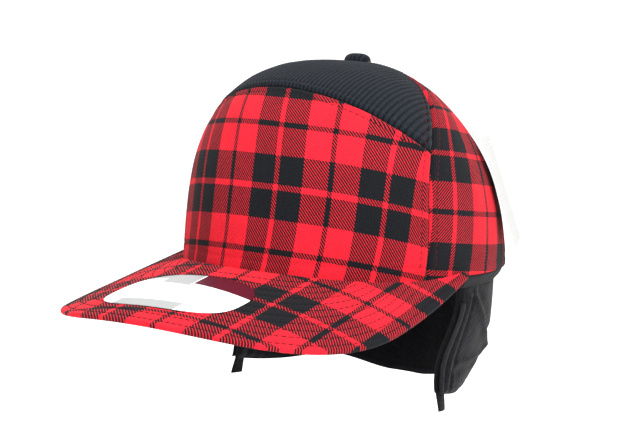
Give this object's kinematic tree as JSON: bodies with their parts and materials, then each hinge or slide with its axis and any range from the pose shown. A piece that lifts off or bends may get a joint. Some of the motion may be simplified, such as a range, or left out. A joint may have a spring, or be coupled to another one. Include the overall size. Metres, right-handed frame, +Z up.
{
  "type": "trapper hat",
  "caption": "Padded plaid cap with a bent brim, a ribbed top, and a fold-down band of two ear flaps and a nape flap.",
  "frame": {"origin": "centre of the head opening, on the plane of the crown's lower edge", "axes": "+Z up through the crown, -Y towards the brim, +X towards the wearer's left"},
  "size_m": [0.1892, 0.2812, 0.1912],
  "materials": {
    "plaid": "matte brushed twill in a red and black plaid",
    "rib": "matte black ribbed knit",
    "fleece": "matte black jersey with a short nap",
    "lining": "matte black brushed lining",
    "wadding": "soft off-white wadding",
    "buckram": "stiff open-weave black cloth",
    "board": "matte grey flexible board",
    "tape": "matte black woven tape",
    "steel": "plain pressed steel",
    "card": "smooth white coated card",
    "plastic": "thin translucent white nylon"
  },
  "bodies": {
    "crown": {"front_panel": "plaid", "top_panel": "rib", "left_side_panel": "plaid", "right_side_panel": "plaid", "left_back_panel": "plaid", "right_back_panel": "plaid", "front_buckram": "buckram", "cross_seam_tape": "tape", "left_front_seam_tape": "tape", "right_front_seam_tape": "tape", "left_rear_seam_tape": "tape", "right_rear_seam_tape": "tape", "back_seam_tape": "tape", "sweatband": "tape", "crown_button": "rib", "button_washer": "steel", "brim_top_cover": "plaid", "brim_board": "board", "brim_under_cover": "rib", "size_sticker": "card", "flap_root_band": "fleece"},
    "left_ear_flap": {"left_ear_flap_shell": "fleece", "left_ear_flap_pad": "wadding", "left_ear_flap_lining": "lining", "left_ear_flap_strip": "tape", "left_ear_flap_tab": "tape"},
    "right_ear_flap": {"right_ear_flap_shell": "fleece", "right_ear_flap_pad": "wadding", "right_ear_flap_lining": "lining", "right_ear_flap_strip": "tape", "right_ear_flap_tab": "tape"},
    "nape_flap": {"nape_flap_shell": "fleece", "nape_flap_pad": "wadding", "nape_flap_lining": "lining"},
    "swing_tag": {"tag_card": "card", "tag_loop": "plastic"}
  },
  "joints": [
    {"name": "left_ear_fold", "type": "hinge", "parent": "crown", "child": "left_ear_flap", "pos_m": [0.0777, 0.0254, -0.0082], "axis": [0.2307, -0.973, 0], "range_deg": [-2, 120], "stiffness_Nm_per_rad": 0.01},
    {"name": "right_ear_fold", "type": "hinge", "parent": "crown", "child": "right_ear_flap", "pos_m": [-0.0777, 0.0254, -0.0082], "axis": [0.2307, 0.973, 0], "range_deg": [-2, 120], "stiffness_Nm_per_rad": 0.01},
    {"name": "nape_fold", "type": "hinge", "parent": "crown", "child": "nape_flap", "pos_m": [0, 0.0947, -0.0082], "axis": [1, 0, 0], "range_deg": [0, 45], "stiffness_Nm_per_rad": 0.03},
    {"name": "tag_swing", "type": "hinge", "parent": "crown", "child": "swing_tag", "pos_m": [0.0539, 0.04, 0.0729], "axis": [0.4067, -0.9136, 0], "range_deg": [0, 80]}
  ]
}
